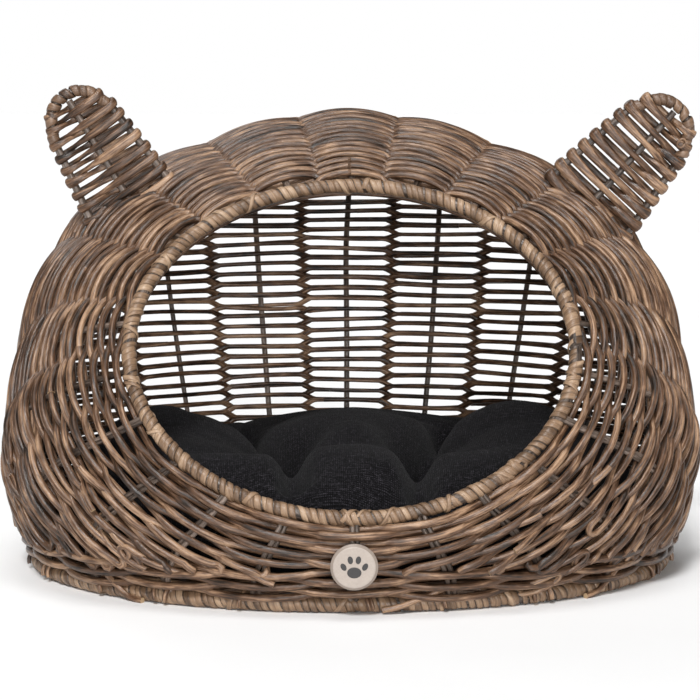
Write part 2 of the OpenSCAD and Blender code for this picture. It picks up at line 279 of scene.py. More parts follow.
class Tubes(Pile):
    """Rods that follow paths. The tone attribute holds each rod's shade, its seed and a mark for
    cut ends. The grain attribute runs along the rod and round it."""

    def __init__(self, sides=8):
        super().__init__()
        self.sides = sides

    def add(self, path, radius, facing, tone=None, closed=False, flat=1.0):
        n, m = len(path), self.sides
        side, across = directions(path, np.asarray(facing, float), closed)
        turn = np.arange(m) * 2 * math.pi / m
        ring = side[:, None] * np.cos(turn)[:, None] * flat + across[:, None] * np.sin(turn)[:, None]
        radius = np.broadcast_to(radius, n)
        points = path[:, None] + ring * radius[:, None, None]
        seed = rng.random()
        shade = np.broadcast_to(rng.random() if tone is None else tone, n)
        rows = n if closed else n - 1
        wide = np.repeat(radius, m)
        grain = np.stack([np.repeat(run_of(path) + 9 * seed, m), np.tile(np.cos(turn), n) * wide + seed,
                          np.tile(np.sin(turn), n) * wide], -1)
        tones = np.stack([np.repeat(shade, m), np.full(n * m, seed), np.zeros(n * m)], -1)
        self.keep(points.reshape(-1, 3), grid_faces(rows, m, n, m), np.full(rows * m, 4), tones, grain)
        for k, order in () if closed else ((0, -1), (n - 1, 1)):
            cut = slice(k * m, (k + 1) * m)
            self.keep(points[k], np.arange(m)[::order], np.array([m]), tones[cut] + (0, 0, 1), grain[cut])


# ---- materials
class Look:
    """Builds one node material: a Principled shader and the nodes that feed it."""

    def __init__(self, name, roughness, **sockets):
        self.material = bpy.data.materials.new(name)
        self.material.use_nodes = True
        self.tree = self.material.node_tree
        self.shader = self.tree.nodes["Principled BSDF"]
        self.shader.inputs["Roughness"].default_value = roughness
        for key, value in sockets.items():
            self.shader.inputs[key.replace("_", " ")].default_value = value

    def node(self, kind, inputs=None, **settings):
        made = self.tree.nodes.new("ShaderNode" + kind)
        for key, value in settings.items():
            setattr(made, key, value)
        for key, value in (inputs or {}).items():
            self.feed(made.inputs[key], value)
        return made

    def feed(self, socket, value):
        if isinstance(value, bpy.types.NodeSocket):
            self.tree.links.new(value, socket)
        else:
            socket.default_value = value

    def here(self):
        return self.node("TexCoord").outputs["Object"]

    def woven(self):
        """What a woven piece keeps on its mesh: its grain, its shade and the mark for cut ends or for the
        painted shade at the edges of wraps.
        """
        tone = self.node("Attribute", attribute_name="tone").outputs["Color"]
        parts = self.node("SeparateColor", {"Color": tone}).outputs
        grain = self.node("Attribute", attribute_name="grain").outputs["Vector"]
        return grain, parts["Red"], parts["Blue"]

    def ramp(self, value, *stops):
        made = self.node("ValToRGB", {"Fac": value})
        steps = made.color_ramp.elements
        while len(steps) < len(stops):
            steps.new(0.5)
        for step, (at, colour) in zip(steps, stops):
            step.position = at
            step.color = (*colour, 1) if isinstance(colour, tuple) else (colour, colour, colour, 1)
        return made.outputs["Color"]

    def maths(self, operation, a, b=0.0, c=None):
        made = self.node("Math", {0: a, 1: b}, operation=operation)
        if c is not None:
            self.feed(made.inputs[2], c)
        return made.outputs[0]

    def mix(self, factor, a, b, blend="MIX"):
        made = self.node("Mix", {"Factor": factor}, data_type="RGBA", blend_type=blend)
        self.feed(made.inputs[6], a)
        self.feed(made.inputs[7], b)
        return made.outputs[2]

    def noise(self, vector, scale, stretch=(1, 1, 1), detail=3.0, rough=0.55):
        moved = self.node("Mapping", {"Vector": vector, "Scale": stretch})
        inputs = {"Vector": moved.outputs[0], "Scale": scale, "Detail": detail, "Roughness": rough}
        return self.node("TexNoise", inputs).outputs["Fac"]

    def bump(self, *heights):
        """Bumps laid over one another, each a height, a strength and a depth in metres."""
        normal = None
        for height, strength, depth in heights:
            made = self.node("Bump", {"Height": height, "Strength": strength, "Distance": depth})
            if normal is not None:
                self.feed(made.inputs["Normal"], normal)
            normal = made.outputs["Normal"]
        self.feed(self.shader.inputs["Normal"], normal)

    def colour(self, value):
        self.feed(self.shader.inputs["Base Color"], value)
        return self.material


def willow(name, dark, mid, light):
    """Willow rod: long streaks, blotches of bark, a shade of its own for each rod, pale cut ends."""
    look = Look(name, 0.33, Specular_IOR_Level=0.42)
    grain, tone, end = look.woven()
    streak = look.noise(grain, 1.0, (60, 900, 900), 4.0, 0.6)
    blotch = look.noise(grain, 1.0, (45, 160, 160), 3.0, 0.6)
    fleck = look.noise(grain, 1.0, (500, 1500, 1500), 2.0, 0.7)
    shade = look.maths("MULTIPLY_ADD", tone, 0.34, -0.17)
    shade = look.maths("ADD", look.maths("MULTIPLY_ADD", streak, 1.15, -0.18), shade)
    shade = look.maths("ADD", shade, look.maths("MULTIPLY_ADD", blotch, 1.05, -0.47))
    body = look.ramp(shade, (0.16, dark), (0.46, mid), (0.80, light))
    spots = look.ramp(fleck, (0.30, 0.45), (0.44, 1.0))
    body = look.mix(0.7, body, spots, "MULTIPLY")
    body = look.mix(end, body, (*CUT_WOOD, 1))
    look.bump((blotch, 0.7, 0.0009), (streak, 0.7, 0.0006), (fleck, 0.4, 0.0003))
    return look.colour(body)


def cane(name, dark, mid, light):
    """Flat cane: tan with fine lines along it, and painted shade along each wrap's edges, where the wraps
    meet.
    """
    look = Look(name, 0.40, Specular_IOR_Level=0.5)
    grain, tone, edge = look.woven()
    lines = look.noise(grain, 1.0, (70, 1600, 900), 4.0, 0.6)
    patch = look.noise(grain, 1.0, (40, 90, 90), 3.0, 0.5)
    shade = look.maths("MULTIPLY_ADD", lines, 0.7, -0.02)
    shade = look.maths("ADD", shade, look.maths("MULTIPLY_ADD", tone, 0.36, -0.18))
    shade = look.maths("ADD", shade, look.maths("MULTIPLY_ADD", patch, 0.5, -0.2))
    body = look.ramp(shade, (0.15, dark), (0.45, mid), (0.8, light))
    # painted shade: each wrap is darkened towards its edges, where neighbouring wraps meet
    body = look.mix(1.0, body, look.ramp(edge, (0.1, 1.0), (1.0, 0.16)), "MULTIPLY")
    look.bump((patch, 0.4, 0.0004), (lines, 0.6, 0.0003))
    return look.colour(body)


def fabric(name):
    """Charcoal cloth in a coarse plain weave, its yarns standing out a little."""
    look = Look(name, 0.9, Specular_IOR_Level=0.12, Sheen_Weight=0.03, Sheen_Roughness=0.5)
    at = look.here()
    wave = {"Vector": at, "Scale": 240.0, "Distortion": 2.0, "Detail": 1.0, "Detail Scale": 30.0}
    warp, weft = (look.node("TexWave", wave, bands_direction=way).outputs["Fac"] for way in "XY")
    yarn = look.maths("MULTIPLY", warp, weft)
    slub = look.noise(at, 1.0, (130, 1000, 650), 2.0, 0.6)
    cross = look.noise(at, 1.0, (1000, 130, 650), 2.0, 0.6)
    threads = look.maths("MAXIMUM", slub, cross)
    wash = look.noise(at, 14.0, rough=0.5)
    body = look.ramp(look.maths("MULTIPLY_ADD", threads, 0.8, look.maths("MULTIPLY", yarn, 0.16)),
                     (0.38, (0.0006, 0.0005, 0.0008)), (0.52, (0.0060, 0.0055, 0.0068)),
                     (0.70, (0.056, 0.051, 0.060)))
    body = look.mix(0.5, body, look.ramp(wash, (0.3, 0.5), (0.7, 1.0)), "MULTIPLY")
    look.bump((yarn, 0.5, 0.0005), (threads, 0.6, 0.0006))
    return look.colour(body)


def enamel(name, colour, roughness, metallic=0.0):
    """Smooth enamel or metal with faint mottling and wear."""
    look = Look(name, roughness, Metallic=metallic)
    at = look.here()
    fine = look.noise(at, 700.0, rough=0.6)
    wide = look.noise(at, 90.0, detail=2.0, rough=0.5)
    tint = look.maths("MULTIPLY_ADD", fine, 0.5, look.maths("MULTIPLY", wide, 0.5))
    darker = tuple(0.82 * c for c in colour)
    look.bump((fine, 0.12, 0.0001))
    return look.colour(look.ramp(tint, (0.3, darker), (0.65, colour)))


def plaster(name):
    """The pale studio floor, with a very slight unevenness."""
    look = Look(name, 0.75)
    at = look.here()
    return look.colour(look.ramp(look.noise(at, 3.0), (0.3, 0.93), (0.7, 0.96)))


# ---- weave
def side_share(u, start, end):
    """0 at the back and 1 towards the front, changing between two angles from the back."""
    return step_up((np.abs((np.asarray(u) + 180) % 360 - 180) - start) / (end - start))


def pairing(u):
    """How far two neighbouring rows close up at a stake: fully at the back, little in front."""
    return 0.98 - 0.88 * side_share(u, 39, 50)


def low_share(u, down):
    """0 over the roof and 1 below it, for the stakes that draw together."""
    return step_up((down / shell.long(u) - 0.2) / 0.25)


def gathered(u, low):
    """Where a stake or a row point of the back lies, from its angle at the mouth."""
    return np.where(np.abs(u) < GATHER_SPAN, u - GATHER * low * np.sin(math.pi * u / GATHER_SPAN), u)


def spread(u, low):
    """The other way round: the angle at the mouth, from the angle where a point lies."""
    turn = (np.asarray(u, float) + 180) % 360 - 180
    start = turn
    for _ in range(12):
        inside = np.abs(start) < GATHER_SPAN
        start = np.where(inside, turn + GATHER * low * np.sin(math.pi * start / GATHER_SPAN), turn)
    return start + (u - turn)


def pitch_at(u):
    """Spacing of the rows: close at the back, wider at the sides and in front."""
    return PITCH * (1 + 0.14 * side_share(u, 55, 100))


def drift(u, row):
    """A slow unevenness of the rows that neighbours share, in metres down the wall."""
    a = np.radians(u)
    swing = np.sin(5 * a + 0.30 * row) + 0.8 * np.sin(9 * a - 0.22 * row + 2)
    return 0.0006 * (swing + 0.5 * np.sin(14 * a + 0.5 * row))


def lean(u, down):
    """How far down the wall an outer weaver sits for each metre it stands out, so that at a stake the
    inner and the outer weaver lie level and leave a slot that can be seen through."""
    along = unit(shell.at(u, down + 0.001) - shell.at(u, down - 0.001))
    rise, fall = shell.out(u, down) @ SIGHT_UP, -along @ SIGHT_UP
    return np.clip(rise / np.maximum(fall, 0.05), 0, 1.0) * step_up(fall / 0.5)


def row_course(row, u, base_side=False):
    """Distance down the wall and stand-off of a row at angles u. Rows count from either hoop."""
    u = np.asarray(u, float)
    pitch = pitch_at(u)
    room = shell.long(u) - MOUTH_EDGE - BASE_EDGE
    size = pitch * np.minimum(1, room / ((MOUTH_ROWS + BASE_ROWS) * pitch)) * (row + 0.5)
    down = shell.long(u) - BASE_EDGE - size if base_side else MOUTH_EDGE + size
    down = down + drift(u, -row if base_side else row)
    c = np.cos(np.pi * (spread(u, low_share(u, down)) / BAY + row))
    closed = pairing(u) * (0.92 + 0.10 * np.sin(3.1 * row + np.radians(4 * u)))
    settled = np.sign(c) * ease(np.minimum(1, np.abs(c) / 0.15))
    out = PASS_OUT * (1 - 0.22 * side_share(u, 60, 100)) * np.sign(c) * np.abs(c) ** 0.8
    return down + closed * (0.5 * pitch * settled + lean(u, down) * out), out


def rough(down, out, u, step):
    """The unevenness of one strand: slight at the back, loose at the sides and in front."""
    loose = 1 + 2.4 * side_share(u, 55, 110)
    down = down + slow_noise(len(u), step, 0.070, 0.00040) * loose
    if rng.random() < 0.4:
        middle = rng.uniform(u.min(), u.max())
        down = down + rng.normal(0, 0.0012) * np.exp(-((u - middle) / 7) ** 2)
    return down, out + slow_noise(len(u), step, 0.05, 0.0003) * loose


def whole_row(tubes, row, base_side):
    """A row that runs right round the basket."""
    turn = 2.6 * (BASE_A if base_side else MOUTH_A) * math.pi
    count = int(turn / RING_STEP)
    u = np.arange(count) * 360 / count
    a = np.radians(u)
    down, out = row_course(row, u, base_side)
    jitter = np.sin(a * 3 + rng.random() * 6) * 0.0005
    path = shell.at(u, down + jitter, out)
    down = down + slow_noise(count, RING_STEP, 0.07, 0.0005) * np.sin(a / 2)
    radius = strand_size(u, down) * (1.02 + 0.07 * np.sin(a * 2 + rng.random() * 6))
    shade = 0.5 + 0.35 * np.sin(a * rng.integers(1, 3) + rng.random() * 6)
    tubes.add(path, radius, shell.out(u, down), shade, closed=True)


def row_reach(row, base_side=False):
    """The angle at which a short row ends: a row that follows the mouth meets the rows of the base,
    and a row that follows the base meets the last of the mouth's rows."""
    u = np.linspace(0, 180, 1441)
    taken = MOUTH_LAST + 1.4 if base_side else BASE_ROWS - 0.2
    room = shell.long(u) - BASE_EDGE - MOUTH_EDGE - pitch_at(u) * taken
    inside = u[pitch_at(u) * (row + 0.5) < room]
    return inside[-1] if len(inside) else 0.0


def turn_back(row, angle, way, base_side):
    """The bend at the end of a row, on to the next one, as (u, down, out)."""
    here, out = row_course(row, np.array([angle]), base_side)
    there, _ = row_course(row + 1, np.array([angle]), base_side)
    a = np.linspace(0, math.pi, 9)[1:-1]
    u = angle + way * (0.005 + 0.004 * rng.random()) / (2 * math.pi * 0.2 / 360) * np.sin(a)
    down = here + (there - here) * ease(a / math.pi)
    return np.stack([u, down, out * np.cos(a) + 0.002 * np.sin(a)], -1)


def short_rows(first, last, base_side=False):
    """Weavers that go to and fro over the back: one long course of (u, down, out) points."""
    course, way = [], 1
    ends = {row: row_reach(row, base_side) for row in range(first, last + 2)}
    stop = -ends[first]
    for row in range(first, last + 1):
        start, stop = stop, way * max(2.0, ends[row + 1] + rng.uniform(-0.6, 1.6))
        count = max(4, int(abs(stop - start) * DEGREE_RUN / RING_STEP))
        u = np.linspace(start, stop, count)
        down, out = row_course(row, u, base_side)
        down, out = rough(down, out, u, RING_STEP)
        course.append(np.stack([u, down, out], -1))
        course.append(turn_back(row, stop, way, base_side))
        way = -way
    return np.concatenate(course)


def cut_course(course):
    """Cuts a course into rods of a natural length."""
    path = shell.at(*course.T)
    course = evenly(np.concatenate([course, path], 1), run_of(path), RING_STEP)
    pieces, at = [], 0
    while at < len(course) - 10:
        count = int(rng.uniform(0.7, 1.7) / RING_STEP)
        pieces.append(course[at:at + count])
        at += count - 3
    return pieces


def strand_size(u, down):
    """Weavers are slim where they pass the stakes of the lower back, and stout elsewhere."""
    slim = (1 - side_share(u, 48, 62)) * step_up((down - 0.13) / 0.07)
    c = np.abs(np.cos(np.pi * spread(u, low_share(u, down)) / BAY))
    slim = slim * step_up((c - 0.15) / 0.12)
    stout = 0.11 * side_share(u, 110, 150) - 0.03 * side_share(u, 60, 100)
    return STRAND_R * (1.16 + stout - 0.34 * slim)


def add_rod(tubes, course):
    """One rod: it thins towards its tip and its ends tuck a little aside."""
    n = len(course)
    u, down, out = course[:, :3].T
    size = strand_size(u, down) * rng.normal(1.0, 0.06)
    size = size * np.linspace(1.07, 0.90, n)[::rng.choice([1, -1])]
    size = size * (1 + slow_noise(n, RING_STEP, 0.08, 0.03))
    shade = np.clip(rng.normal(0.5, 0.26) + slow_noise(n, RING_STEP, 0.2, 0.16), 0, 1)
    tubes.add(shell.at(u, down, out), size, shell.out(u, down), shade)


def last_base_row():
    """The last row of the base's kind that still has a stretch of its own over the middle back."""
    row = BASE_ROWS
    while row_reach(row + 2, True) > 4:
        row += 1
    return row


def weave(material):
    for name, rows, base_side, *nodes in (("weave_mouth_rows", MOUTH_ROWS, False, "weave_front"),
                                          ("weave_base_rows", BASE_ROWS, True)):
        rods = Tubes()
        for row in range(rows):
            whole_row(rods, row, base_side)
        place(rods.build(name), material, "willow", *nodes)
    for name, first, last, base_side, *nodes in (
            ("weave_roof_rows", MOUTH_ROWS, 24, False, "weave_roof"),
            ("weave_upper_rows", 25, 43, False, "weave_left"),
            ("weave_middle_rows", 44, MOUTH_LAST, False, "weave_right"),
            ("weave_lower_rows", BASE_ROWS, 34, True, "weave_back"),
            ("weave_back_rows", 35, last_base_row(), True)):
        rods = Tubes()
        for course in cut_course(short_rows(first, last, base_side)):
            add_rod(rods, course)
        place(rods.build(name), material, "willow", *nodes)


def hook(rods, u, down, way):
    """A weaver's end bent back on itself, standing a little proud of the wall."""
    a = np.linspace(0, math.pi, 11)
    bend = np.stack([0.008 * np.sin(a), 0.0045 * np.cos(a)], -1)
    tail = np.linspace(0.03, 0.0, 7)[:-1]
    along = np.concatenate([-tail, bend[:, 0], -tail[::-1]])
    below = np.concatenate([0.0045 + 0 * tail, bend[:, 1], -0.0045 - 0.05 * tail[::-1]])
    edge = np.clip(np.minimum(np.arange(len(along)), np.arange(len(along))[::-1]) / 5, 0, 1)
    turned = u + way * np.degrees(along / WALL_R)
    path = shell.at(turned, down + below, 0.0062 * ease(edge) - 0.002)
    rods.add(path, STRAND_R * rng.uniform(0.9, 1.05), shell.out(turned, down + below), rng.random())


def cut_end(rods, u, down, way):
    """The end of a weaver that peels off the wall and stops, cut across."""
    a = np.linspace(0, 1, 9)
    turned = u + way * np.degrees(0.045 * a / WALL_R)
    path = shell.at(turned, down + 0.003 * a, 0.0095 * ease(a) - 0.002)
    rods.add(path, STRAND_R * rng.uniform(0.9, 1.05), shell.out(turned, down), rng.uniform(0.4, 1))


def loose_ends(material):
    """Hooks and cut ends low down at the sides and front corners."""
    rods = Tubes()
    for side in (-1, 1):
        for _ in range(4):
            u = 180 + side * rng.uniform(30, 80)
            hook(rods, u, shell.long(u) * rng.uniform(0.35, 0.88), rng.choice([-1, 1]))
        for _ in range(6):
            u = 180 + side * rng.uniform(15, 74)
            cut_end(rods, u, shell.long(u) * rng.uniform(0.3, 0.85), rng.choice([-1, 1]))
    place(rods.build("weave_loose_ends"), material, "willow")


# ---- stakes, hoops and bindings
def stakes(material):
    rods = Tubes()
    for k in range(STAKES):
        doubled = 7 <= k <= 15
        for shift in ((-0.55, 0.55) if doubled else (0,)):
            count = max(8, int(shell.long(k * BAY) / STAKE_STEP))
            down = np.linspace(0.003, shell.long(k * BAY) - 0.003, count)
            start = (k * BAY + 180) % 360 - 180
            u = gathered(start, low_share(start, down)) + shift + slow_noise(count, STAKE_STEP, 0.09, 0.12)
            rods.add(shell.at(u, down), STAKE_R * rng.uniform(0.85, 1.0) * (0.82 if doubled else 1),
                     shell.out(u, down))
    names = ["stakes_front", "stakes_left", "stakes_right", "stakes_back"]
    place(rods.build("stakes"), material, "stake", *names)


def hoop_path(a, b, count):
    turn = np.arange(count) * 2 * math.pi / count
    return np.stack([a * np.cos(turn), b * np.sin(turn), 0 * turn], -1)


def moved(points, matrix):
    m = np.array(matrix)
    return points @ m[:3, :3].T + m[:3, 3]


def lone_rod(name, path, radius, facing, material, slot, *nodes, closed=False, sides=8, body="basket"):
    rod = Tubes(sides)
    rod.add(path, radius, facing, closed=closed)
    place(rod.build(name), material, slot, *nodes, body=body)


class Wrap(Pile):
    """Flat strips wound round a path. The tone attribute's last number marks their edges, for the shade
    that the cane material paints there.
    """

    ACROSS = np.array([-0.5, -0.44, -0.2, 0.2, 0.44, 0.5])
    CROWN = np.array([-1.2, -0.1, 0.2, 0.2, -0.1, -1.2])
    # how much painted shade each point across a strip takes, most at its two edges
    PAINTED_EDGE_SHADE = np.array([1.0, 0.25, 0, 0, 0.1, 1.0])

    def __init__(self, path, facing, closed):
        super().__init__()
        table = np.concatenate([path, *directions(path, facing, closed)], -1)
        self.table = np.concatenate([table, table[:1]]) if closed else table
        self.run = run_of(self.table[:, :3])
        self.total, self.closed = self.run[-1], closed

    def look_up(self, s):
        s = s % self.total if self.closed else s
        return np.stack([np.interp(s, self.run, self.table[:, k]) for k in range(9)], -1)

    def strip(self, s, angle, radius, width, thick, shade):
        """One strip whose middle runs over places s and angles round the path."""
        wide = s[:, None] + self.ACROSS * width[:, None]
        lift = radius[:, None] + self.CROWN * thick
        f = self.look_up(wide)
        c, d = np.cos(angle)[:, None, None], np.sin(angle)[:, None, None]
        points = f[..., :3] + (f[..., 3:6] * c + f[..., 6:] * d) * lift[..., None]
        n, m = wide.shape
        seed = rng.random()
        run = np.cumsum(np.abs(np.diff(angle, prepend=angle[0]))) * radius.mean()
        grain = np.stack([np.repeat(run, m) + 9 * seed, np.tile(self.ACROSS * 0.005, n),
                          np.zeros(n * m)], -1)
        tones = np.stack([np.repeat(shade, m), np.full(n * m, seed), np.tile(self.PAINTED_EDGE_SHADE, n)], -1)
        self.keep(points.reshape(-1, 3), grid_faces(n - 1, m - 1, n, m),
                  np.full((n - 1) * (m - 1), 4), tones, grain)

    def wind(self, start, end, pitch, radius, thick, strips=1):
        """Winds on cane from start to end of the path: strips side by side, a pitch apart."""
        turns = int((end - start) / pitch / strips)
        per = 16
        x = np.arange(turns * per + 1) / per
        together = slow_noise(len(x), 1 / per, 1.4, 0.18)
        for number in range(strips):
            uneven = together + slow_noise(len(x), 1 / per, 0.7, 0.13)
            s = start + pitch * (strips * x + number + uneven)
            lift = radius + slow_noise(len(x), 1 / per, 0.9, 0.00028)
            width = pitch * (1.0 + slow_noise(len(x), 1 / per, 1.0, 0.12))
            shade = np.clip(0.5 + slow_noise(len(x), 1 / per, 0.8, 0.34), 0, 1)
            for first in range(0, len(x) - 1, per * 12):
                part = slice(first, min(first + per * 12 + 1, len(x)))
                self.strip(s[part], 2 * math.pi * x[part], lift[part], width[part], thick, shade[part])

    def stray(self, radius, thick, width):
        """A single wrap laid across the others at a slant."""
        x = np.linspace(0, 1, 15)
        slant = rng.uniform(0.008, 0.02) * rng.choice([-1, 1])
        s = rng.uniform(0, self.total) + slant * x
        angle = 2 * math.pi * (x * 0.9 + rng.random())
        lift = radius + 0.0011 * np.sin(math.pi * x) ** 0.5 - 0.0003
        self.strip(s, angle, lift, np.full(15, width * rng.uniform(0.5, 0.9)), thick,
                   np.full(15, rng.uniform(0.55, 1)))


def bound_hoop(node, a, b, radius, where, pitch, strays, rod, strip):
    """A hoop rod with flat cane wound round it."""
    path = moved(hoop_path(a, b, 360), where)
    axis = np.array(where.to_3x3().col[2])
    lone_rod(node + "_bound_core", path, radius - 0.0013, axis, rod, "stake", node, closed=True, sides=10)
    wrap = Wrap(path, axis, True)
    wrap.wind(0, wrap.total - pitch, pitch, radius - 0.00060, 0.0007, 2)
    for _ in range(strays):
        wrap.stray(radius - 0.0004, 0.0008, pitch)
    place(wrap.build(node + "_bound_wraps"), strip, "cane", node + "_binding")


def hoops(rod, willow_rod, strip):
    mouth = Matrix.Translation((0, -MOUTH_Y, MOUTH_Z)) @ Matrix.Rotation(math.pi / 2 - MOUTH_TILT, 4, "X")
    base = Matrix.Translation((0, -BASE_Y, BASE_R))
    bound_hoop("mouth_hoop", MOUTH_A, MOUTH_B, MOUTH_R, mouth, 0.0050, 30, rod, strip)
    bound_hoop("base_hoop", BASE_A, BASE_B, BASE_R - 0.0001, base, 0.0047, 22, rod, strip)
    back = Matrix.Translation((0, 0, -(MOUTH_R + INNER_R + 0.0006)))
    path = moved(hoop_path(MOUTH_A - 0.001, MOUTH_B - 0.001, 200), mouth @ back)
    axis = np.array(mouth.to_3x3().col[2])
    lone_rod("mouth_inner_rod", path, INNER_R, axis, willow_rod, "willow", "mouth_inner_hoop", closed=True)


def base_loops(material):
    """Weaver ends that go over the base hoop beside each stake and back down inside it."""
    loops = Tubes()
    for k in range(STAKES):
        for shift in rng.uniform(-2.6, 2.6, 1 + k % 2):
            a = np.radians(np.linspace(-18, 172, 15))
            spot = np.radians(k * BAY + shift + np.linspace(-0.6, 0.6, 15) * rng.choice([-1, 1]))
            reach = BASE_R + 0.0015
            out, up = reach * np.cos(a), np.maximum(reach * np.sin(a), -0.0035)
            path = np.stack([(BASE_A + out) * np.sin(spot), (BASE_B + out) * np.cos(spot) - BASE_Y,
                             up + BASE_R], -1)
            loops.add(path, 0.0017 * rng.uniform(0.85, 1.1), np.gradient(path, axis=0)[:, [1, 0, 2]] + 0.01)
    place(loops.build("base_hoop_loops"), material, "willow")


# ---- floor
def floor(rod, strand):
    """The woven floor: sticks front to back, and strands over and under them from side to side."""
    a, b = BASE_A - 0.006, BASE_B - 0.006
    middle = FLOOR_Z + FLOOR_T / 2
    pitch = 2 * a / (FLOOR_STICKS + 1)
    sticks = Tubes(6)
    for i in range(FLOOR_STICKS):
        x = (i - (FLOOR_STICKS - 1) / 2) * pitch
        half = b * math.sqrt(1 - (x / a) ** 2)
        y = np.linspace(-half, half, 20)
        sticks.add(np.stack([0 * y + x, y - BASE_Y, 0 * y + middle], -1), 0.0017, (0, 0, 1))
    place(sticks.build("floor_stick_rods"), rod, "stake", "floor_sticks")
    strands = Tubes(6)
    rows = int(2 * b / FLOOR_PITCH)
    for j in range(rows):
        y = (j - (rows - 1) / 2) * FLOOR_PITCH
        half = a * math.sqrt(max(0.004, 1 - (y / b) ** 2))
        x = np.arange(-half, half, FLOOR_STEP)
        if len(x) > 3:
            z = middle + 0.0028 * np.cos(math.pi * (x / pitch + j))
            z = z + slow_noise(len(x), FLOOR_STEP, 0.05, 0.0002)
            strands.add(np.stack([x, 0 * x + y - BASE_Y, z], -1), 0.0019, (0, 0, 1))
    place(strands.build("floor_strands"), strand, "willow", "floor_weave")


# ---- ears
def ear_half(z, half):
    return half * (1 - 0.34 * np.maximum(0, z) / EAR_LEN)


def ear_outline(half):
    """The ear's bent rod in its own plane: up one leg, over the arch, down the other."""
    top = ear_half(EAR_LEN, half)
    shoulder = EAR_LEN - top
    z = np.linspace(-EAR_ROOT, shoulder, 14)
    a = np.radians(np.linspace(180, 0, 25))[1:-1]
    legs = np.stack([ear_half(z, half), 0 * z, z], -1)
    arch = np.stack([top * np.cos(a), 0 * a, shoulder + top * np.sin(a)], -1)
    return np.concatenate([legs * (-1, 1, 1), arch, legs[::-1]]), len(z), len(a)


def ear_width(z, half):
    """Half the ear's width at height z, over its shoulders and up into the arch."""
    top = ear_half(EAR_LEN, half)
    up = np.clip(z - (EAR_LEN - top), 0, 0.97 * top)
    return np.where(up > 0, np.minimum(ear_half(z, half), np.sqrt(top ** 2 - up ** 2)), ear_half(z, half))


def ear_weaver_path(half, turns, way, broad):
    """A flat weaver that goes up the ear in figures of eight: over one leg, across behind, round the
    other leg and back over the spine. Returns its path, its half width and its flat side."""
    x = np.linspace(0, turns, turns * EAR_STEPS + 1)
    a = 2 * math.pi * x
    pitch = (EAR_LEN + 0.009) / turns
    climb = np.floor(x) + np.interp(x % 1, [0, 0.5, 1], [0, 0.68, 1.0])
    z = pitch * climb - 0.017 + slow_noise(len(x), 1 / EAR_STEPS, 0.6, 0.0005)
    across = -np.sign(np.cos(a)) * np.abs(np.cos(a)) ** 0.7
    reach = ear_width(z, half) + EAR_ROD_R + 0.0012
    over = np.tanh((across + 0.42) / 0.20) * np.where(x % 1 < 0.5, -1, 1)
    deep = over * (1 - across ** 2 * 0.999) ** 0.3
    bulge = 1 + 0.10 * slow_noise(len(x), 1 / EAR_STEPS, 0.5, 1.0)
    pointed = 0.58 + 0.50 * ease(np.minimum(1, np.abs(across + 0.42) / 0.58))
    size = broad * (pointed if way > 0 else 0.60 + 0.50 * np.abs(across) ** 1.4)
    size = size * (1 + slow_noise(len(x), 1 / EAR_STEPS, 0.7, 0.06))
    path = np.stack([way * reach * across, (EAR_ROD_R + 0.0017) * deep * bulge, z], -1)
    turned = np.sign(np.sin(a)) * np.abs(np.sin(a)) ** 0.5
    flat = np.stack([-way * np.abs(np.cos(a)) ** 4, turned, 0 * a], -1)
    return path, size, flat


def ear_curl(seat_at):
    """A small ring of cane on the face of the ear, near its tip."""
    a = np.linspace(0.6, 2 * math.pi + 1.2, 26)
    ring = np.stack([0.019 + 0.0028 * np.cos(a), 0.0004 * a - 0.0088, 0.073 + 0.0036 * np.sin(a)], -1)
    return moved(ring, seat_at)


def ear(side, rod, strand, strip):
    """An ear: a bent rod and a spine, a weaver wound on them and flat wraps over the arch."""
    seat, lean, half = EARS[side]
    where = Matrix.Translation(seat) @ Matrix.Rotation(math.radians(lean), 4, "Y")
    across = np.array(where.to_3x3().col[1])
    name = f"ear_{side}_"
    outline, legs, arch = ear_outline(half)
    lone_rod(name + "frame_rod", moved(outline, where), EAR_ROD_R * 0.96, across, rod, "stake",
             name + "frame")
    z = np.linspace(-EAR_ROOT, EAR_LEN - EAR_ROD_R - 0.002, 16)
    lone_rod(name + "spine_rod", moved(np.stack([0 * z, 0 * z, z], -1), where), SPINE_R, across, rod,
             "stake", name + "spine")
    weaver = Tubes(10)
    path, size, flat = ear_weaver_path(half, *EAR_WEAVES[side])
    facing = flat @ np.array(where.to_3x3()).T
    shade = np.clip(0.5 + slow_noise(len(path), 1 / EAR_STEPS, 0.5, 0.3), 0, 1)
    weaver.add(moved(path, where), size, facing, shade, flat=0.5)
    if side == "right":
        weaver.add(ear_curl(where), 0.0007, across, 0.95)
    place(weaver.build(name + "weaver_rod"), strand, "willow", name + "weaver")
    wrap = Wrap(moved(outline[legs - 2:legs + arch + 2], where), across, False)
    wrap.wind(0.002, wrap.total - 0.002, 0.0064, EAR_ROD_R + 0.0014, 0.0009)
    place(wrap.build(name + "tip_wraps"), strip, "cane", name + "tip_binding")


# ---- cushion
def cushion_blank():
    """The cushion before it fills out: a low closed oval, drawn in a little from its full size."""
    mesh = bmesh.new()
    profile = [(1 - 0.16 * v ** 2, SEAM_Z * (1 - v ** 0.8)) for v in np.linspace(1, 0.04, 9)]
    for v in np.linspace(0, 0.97, 13):
        lift = math.sin(math.pi / 2 * v) ** 0.85
        profile.append((math.cos(math.pi / 2 * v) ** 0.5, SEAM_Z + (CUSHION_H - SEAM_Z) * lift))
    loops = []
    for share, z in profile:
        oval = hoop_path(CUSHION_A * share - FOLDED_IN, CUSHION_B * share - FOLDED_IN, 72)
        middle = (0, CUSHION_Y, CUSHION_Z + 0.004 + z * 0.86)
        loops.append([mesh.verts.new(spot) for spot in oval + middle])
    join_rings(mesh, loops)
    mesh.faces.new(loops[0][::-1])
    mesh.faces.new(loops[-1])
    return from_bmesh(mesh, "cushion_cover")


def apply_modifiers(obj):
    graph = bpy.context.evaluated_depsgraph_get()
    done = bpy.data.meshes.new_from_object(obj.evaluated_get(graph))
    obj.modifiers.clear()
    obj.data = done


